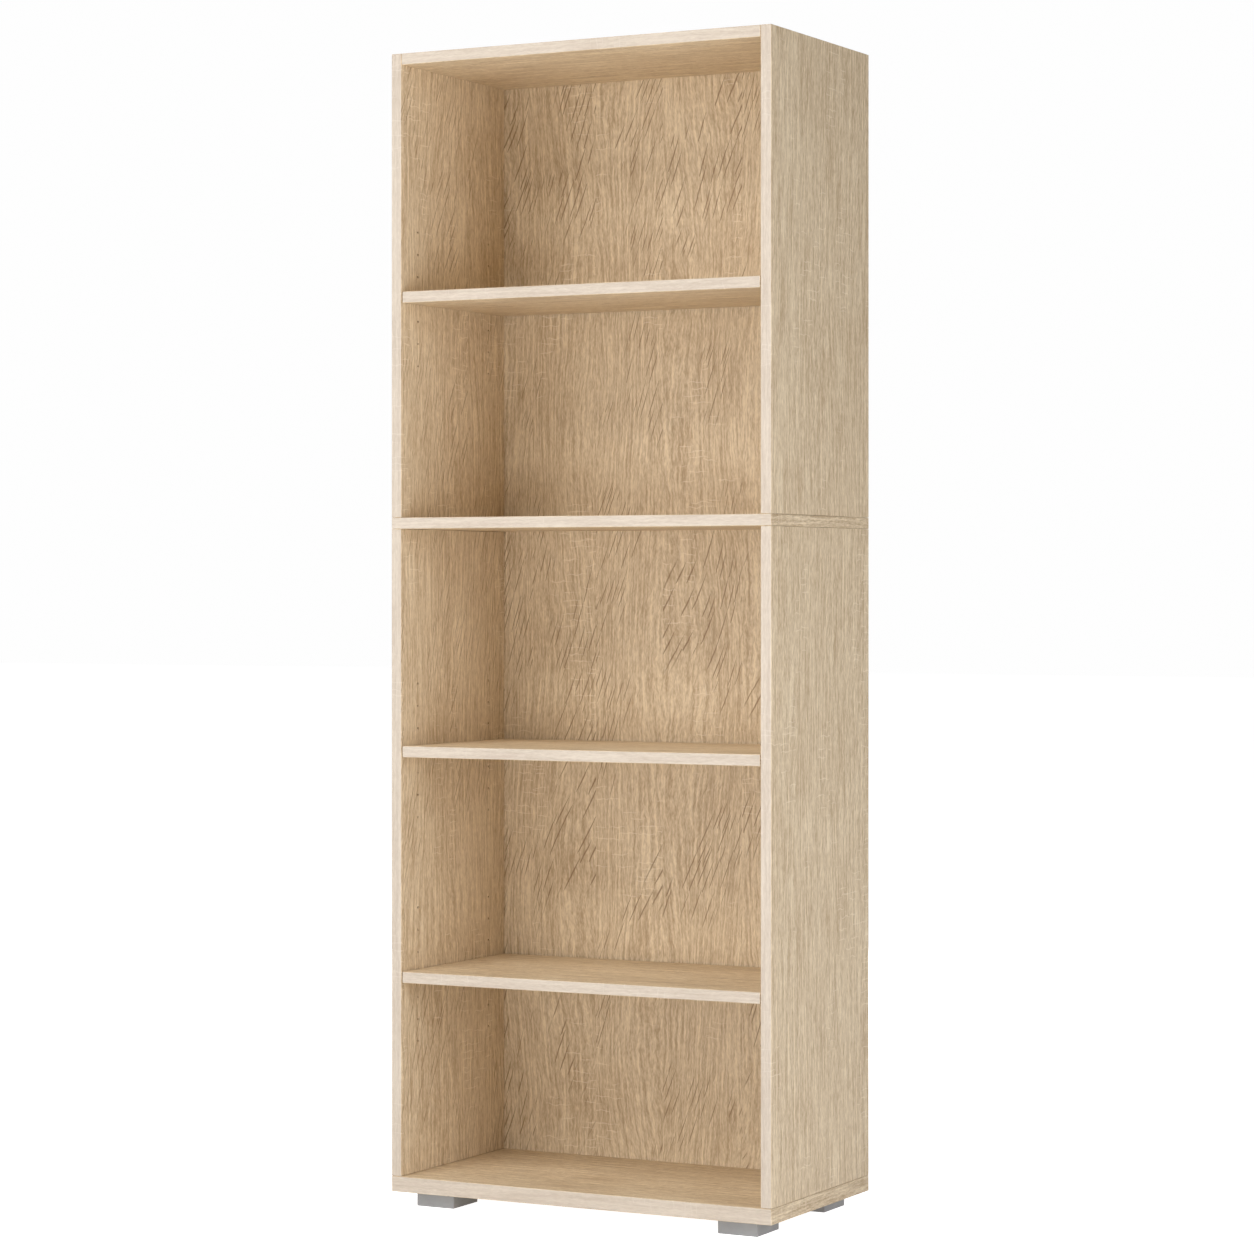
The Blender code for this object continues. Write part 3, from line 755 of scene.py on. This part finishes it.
CAM_CHAMFER = 0.0004
CAM_CROSS_DEPTH = 0.0032
CAM_CROSS_R = (0.0036, 0.0040)  # at its floor and at the top
CAM_MOUTH_R = 0.0032
CAM_MOUTH_BACK = -0.003
CAM_MOUTH_X = 0.0005
CAM_MOUTH_Z = -0.0077
ARROW_TIP = 0.0008  # this and the next one are in from the cam's rim
ARROW_BACK = 0.0026
ARROW_HALF_WIDTH = 0.0011
ARROW_DEPTH = 0.0006

BALL_R = 0.0029
BALL_TOP = BALL_R * 0.8  # half the height of the ball, which is a little flat
BALL_STEP = 20  # degrees
NECK_R = 0.0015
NECK_END = -0.0045
PIN_R = 0.0025
PIN_START = -0.0055
PIN_LEAD = 0.0002
BOLT_THREAD = 0.010
BOLT_THREAD_R = 0.003
BOLT_TIP = 0.0015  # the tip's length and its radius
BOLT_PITCH = 0.0022
BOLT_GROOVE = 0.0007


def cam_mouth(radius):
    """What the mouth takes away: a bore from inside the cam out through its rim."""
    mouth = turned("mouth", [
        (0, radius, round_reach),
        (CAM_MOUTH_R, radius, round_reach),
        (CAM_MOUTH_R, CAM_MOUTH_BACK, round_reach),
        (0, CAM_MOUTH_BACK, round_reach),
    ])
    mouth.transform(Matrix.Rotation(math.pi / 2, 4, "Y"))
    return moved(mouth, (CAM_MOUTH_X, 0, CAM_MOUTH_Z))


def cam_arrow(radius):
    """What the arrow takes away: a triangle that points out over the mouth."""
    back = radius - ARROW_BACK
    corners = [(radius - ARROW_TIP, 0), (back, ARROW_HALF_WIDTH), (back, -ARROW_HALF_WIDTH)]
    arrow = bmesh.new()
    below = [arrow.verts.new((x, y, -ARROW_DEPTH)) for x, y in corners]
    above = [arrow.verts.new((x, y, ARROW_DEPTH)) for x, y in corners]
    arrow.faces.new(below[::-1])
    arrow.faces.new(above)
    for i in range(3):
        j = (i + 1) % 3
        arrow.faces.new((below[i], below[j], above[j], above[i]))
    return finished_mesh("arrow", arrow)


def cam_mesh(radius, height):
    """A cam that hangs down from Z = 0, with a cross for the driver, and the mouth for the bolt and
    an arrow on its +X side."""
    rings = [
        (0, -CAM_CROSS_DEPTH, round_reach),
        (CAM_CROSS_R[0], -CAM_CROSS_DEPTH, cross_reach),
        (CAM_CROSS_R[1], 0, cross_reach),
        (radius - CAM_CHAMFER, 0, round_reach),
        (radius, -CAM_CHAMFER, round_reach),
        (radius, -height, round_reach),
        (0, -height, round_reach),
    ]
    cutters = [cam_mouth(radius), cam_arrow(radius)]
    return without(turned("cam", rings), cutters)


def bolt_mesh(length):
    """A cam bolt that points down Z from its ball head, whose centre is at Z = 0."""
    face = BOLT_THREAD - length
    rings = [(0, BALL_TOP, round_reach)]
    for step in range(1, 8):
        angle = math.radians(90 - BALL_STEP * step)
        rings.append((BALL_R * math.cos(angle), BALL_TOP * math.sin(angle), round_reach))
    rings += [
        (NECK_R, -BALL_TOP, round_reach),
        (NECK_R, NECK_END, round_reach),
        (PIN_R, PIN_START, round_reach),
        (PIN_R, face + PIN_LEAD, round_reach),
        (BOLT_THREAD_R, face, round_reach),
        (BOLT_THREAD_R, BOLT_TIP - length, round_reach),
        (BOLT_TIP, -length, round_reach),
        (0, -length, round_reach),
    ]
    return turned("cam_bolt", rings, (face, BOLT_TIP - length, BOLT_PITCH, BOLT_GROOVE))


def make_cams(steel, zinc):
    """The cams, their mouths to the outside of the bookcase, and the bolts that point outwards
    from them."""
    cam = bolt = None
    for node in sorted(nodes):
        if not node.startswith("cam_"):
            continue
        low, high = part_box(node)
        middle = (low + high) / 2
        outward = Vector((math.copysign(1, middle.x), 0, 0))
        if "bolt" in node:
            length = high.x - low.x - BALL_TOP
            bolt = bolt or bolt_mesh(length)
            inner = min(abs(low.x), abs(high.x)) + BALL_TOP
            stand_in(node, bolt, steel, (outward.x * inner, middle.y, middle.z), -outward)
        else:
            cam = cam or cam_mesh((high.x - low.x) / 2, high.z - low.z)
            turn = 0 if outward.x > 0 else math.pi
            stand_in(node, cam, zinc, (middle.x, middle.y, high.z), turn=turn)


# Wires

WIRE_R = 0.0015
WIRE_BEND_R = 0.003
WIRE_BEND_STEPS = 12
WIRE_ROUNDNESS = 6
WIRE_CHAMFER = 0.0008
WIRE_TIP = 0.7  # the tip's radius, as a share of the wire's


def wire_route(outward, tip, run, ends, level):
    """A flat staple: a leg, a bend, the long run and the same back."""
    shoulder = tip - outward * WIRE_CHAMFER
    points = [(tip, ends[0], level), (shoulder, ends[0], level)]
    for y, turn_way in ((ends[0], 1), (ends[1], -1)):
        arc = []
        for step in range(WIRE_BEND_STEPS + 1):
            angle = QUARTER * step / WIRE_BEND_STEPS
            x = run + outward * WIRE_BEND_R * (1 - math.sin(angle))
            arc.append((x, y + turn_way * WIRE_BEND_R * (1 - math.cos(angle)), level))
        points += arc if turn_way > 0 else arc[::-1]
    return points + [(shoulder, ends[1], level), (tip, ends[1], level)]


def wire_mesh(name, points):
    """A round wire through the points, with chamfered tips."""
    curve = bpy.data.curves.new(name, "CURVE")
    curve.dimensions = "3D"
    curve.bevel_depth = WIRE_R
    curve.bevel_resolution = WIRE_ROUNDNESS
    curve.use_fill_caps = True
    spline = curve.splines.new("POLY")
    spline.points.add(len(points) - 1)
    for point, place in zip(spline.points, points):
        point.co = (*place, 1)
    spline.points[0].radius = spline.points[-1].radius = WIRE_TIP
    source = bpy.data.objects.new("route", curve)
    scene.collection.objects.link(source)
    bpy.context.view_layer.update()
    evaluated = source.evaluated_get(bpy.context.evaluated_depsgraph_get())
    mesh = bpy.data.meshes.new_from_object(evaluated)
    bpy.data.objects.remove(source)
    smooth(mesh)
    return mesh


def make_wires(steel):
    """The bent wires that carry the shelves, their legs to the outside of the bookcase."""
    for node in sorted(nodes):
        if "_wire_" not in node:
            continue
        low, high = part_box(node)
        outward = math.copysign(1, low.x)
        tip = low.x if outward < 0 else high.x
        run = (high.x if outward < 0 else low.x) + outward * WIRE_R
        ends = (low.y + WIRE_R, high.y - WIRE_R)
        points = wire_route(outward, tip, run, ends, (low.z + high.z) / 2)
        stand_in(node, wire_mesh(node, points), steel)


PLATING = {
    "dark": (0.50, 0.51, 0.53, 1),
    "light": (0.70, 0.71, 0.72, 1),
    "roughness": 0.32,
    "rate": 1500,
    "bump": 0.15,
}
CASTING = {
    "dark": (0.36, 0.36, 0.375, 1),
    "light": (0.55, 0.55, 0.56, 1),
    "roughness": 0.48,
    "rate": 900,
    "bump": 0.5,
}


def make_fittings():
    """The finer feet, screws, dowels, cams and wires, each given the material of its finish. A
    finish is listed as a slot name of the record together with a material, and the pieces get only
    the material.
    """
    plastic = ("grey_plastic", plastic_material("fine_plastic"))
    steel = ("zinc_plated_steel", metal_material("fine_steel", **PLATING))
    zinc = ("die_cast_zinc", metal_material("fine_zinc", **CASTING))
    beech = ("beech", beech_material("fine_beech"))
    make_feet(plastic)
    make_screws(steel)
    make_dowels(beech)
    make_cams(steel, zinc)
    make_wires(steel)


# Camera, light and floor

CAMERA_PLACE = (2.4027, -4.5704, 0.8811)
CAMERA_TURN = math.radians(27.784)
SENSOR_WIDTH = 36
LENS = 103.77
SHIFT_Y = -0.03035
CLIP_END = 100


def make_camera():
    """A level camera to the right of the front, turned to the left."""
    camera = bpy.data.objects.new("camera", bpy.data.cameras.new("camera"))
    scene.collection.objects.link(camera)
    camera.location = CAMERA_PLACE
    camera.rotation_euler = (QUARTER, 0, CAMERA_TURN)
    camera.data.sensor_width = SENSOR_WIDTH
    camera.data.lens = LENS
    camera.data.shift_y = SHIFT_Y
    camera.data.clip_end = CLIP_END
    scene.camera = camera


NEUTRAL = (1.0, 1.0, 1.02)
COOL = (0.965, 0.99, 1.08)
SOFTBOXES = {  # place, width and height, watts, colour
    "high_front": ((-0.6, -4.2, 5.0), (3.0, 3.0), 234, NEUTRAL),
    "front_left": ((-2.0, -3.0, 1.5), (2.0, 2.0), 36, NEUTRAL),
    "front_low": ((0.0, -3.0, 0.35), (2.0, 0.6), 20, NEUTRAL),
    "right": ((3.2, -0.9, 1.0), (1.5, 2.0), 51, COOL),
    "right_near": ((1.3, -1.1, 0.75), (0.6, 0.8), 2.5, COOL),
    "behind": ((-1.6, 3.2, 1.3), (2.0, 2.0), 60, NEUTRAL),
}
AIM = Vector((0, 0, 0.8))
WHITE = (1, 1, 1, 1)
FLOOR_COLOR = (0.8, 0.8, 0.8, 1)
FLOOR_SIZE = 60
WORLD_SEEN = 0.99  # what the camera sees is nearly white, and the light that is cast is weak
WORLD_CAST = 0.03
FLOOR_SEEN = 0.985
FLOOR_GLOW = 0.20


def make_softbox(name, place, size, watts, color):
    data = bpy.data.lights.new(name, "AREA")
    data.shape = "RECTANGLE"
    data.size, data.size_y = size
    data.energy = watts
    data.color = color
    light = bpy.data.objects.new(name, data)
    scene.collection.objects.link(light)
    light.location = place
    light.rotation_euler = (AIM - Vector(place)).to_track_quat("-Z", "Y").to_euler()
    light.visible_camera = False


def seen_and_cast(t, seen, cast):
    """A strength that is seen by the camera, with another one for the light it casts."""
    camera_ray = t.node("ShaderNodeLightPath").outputs["Is Camera Ray"]
    return t.times(camera_ray, seen - cast, cast)


def make_studio():
    scene.view_settings.view_transform = "Standard"
    world = bpy.data.worlds.new("studio")
    world.use_nodes = True
    t = Tree(world.node_tree)
    background = world.node_tree.nodes["Background"]
    background.inputs["Color"].default_value = WHITE
    t.put(background.inputs["Strength"], seen_and_cast(t, WORLD_SEEN, WORLD_CAST))
    scene.world = world
    for name, settings in SOFTBOXES.items():
        make_softbox(name, *settings)
    bpy.ops.mesh.primitive_plane_add(size=FLOOR_SIZE, location=(0, 0, 0))
    floor = bpy.context.object
    floor.name = "floor"
    material, t, shader = new_material("floor_white")
    shader.inputs["Base Color"].default_value = FLOOR_COLOR
    shader.inputs["Roughness"].default_value = 1.0
    shader.inputs["Specular IOR Level"].default_value = 0.0
    shader.inputs["Emission Color"].default_value = WHITE
    t.put(shader.inputs["Emission Strength"], seen_and_cast(t, FLOOR_SEEN, FLOOR_GLOW))
    set_material(floor, material)


make_camera()
finish_boards()
make_fittings()
make_studio()
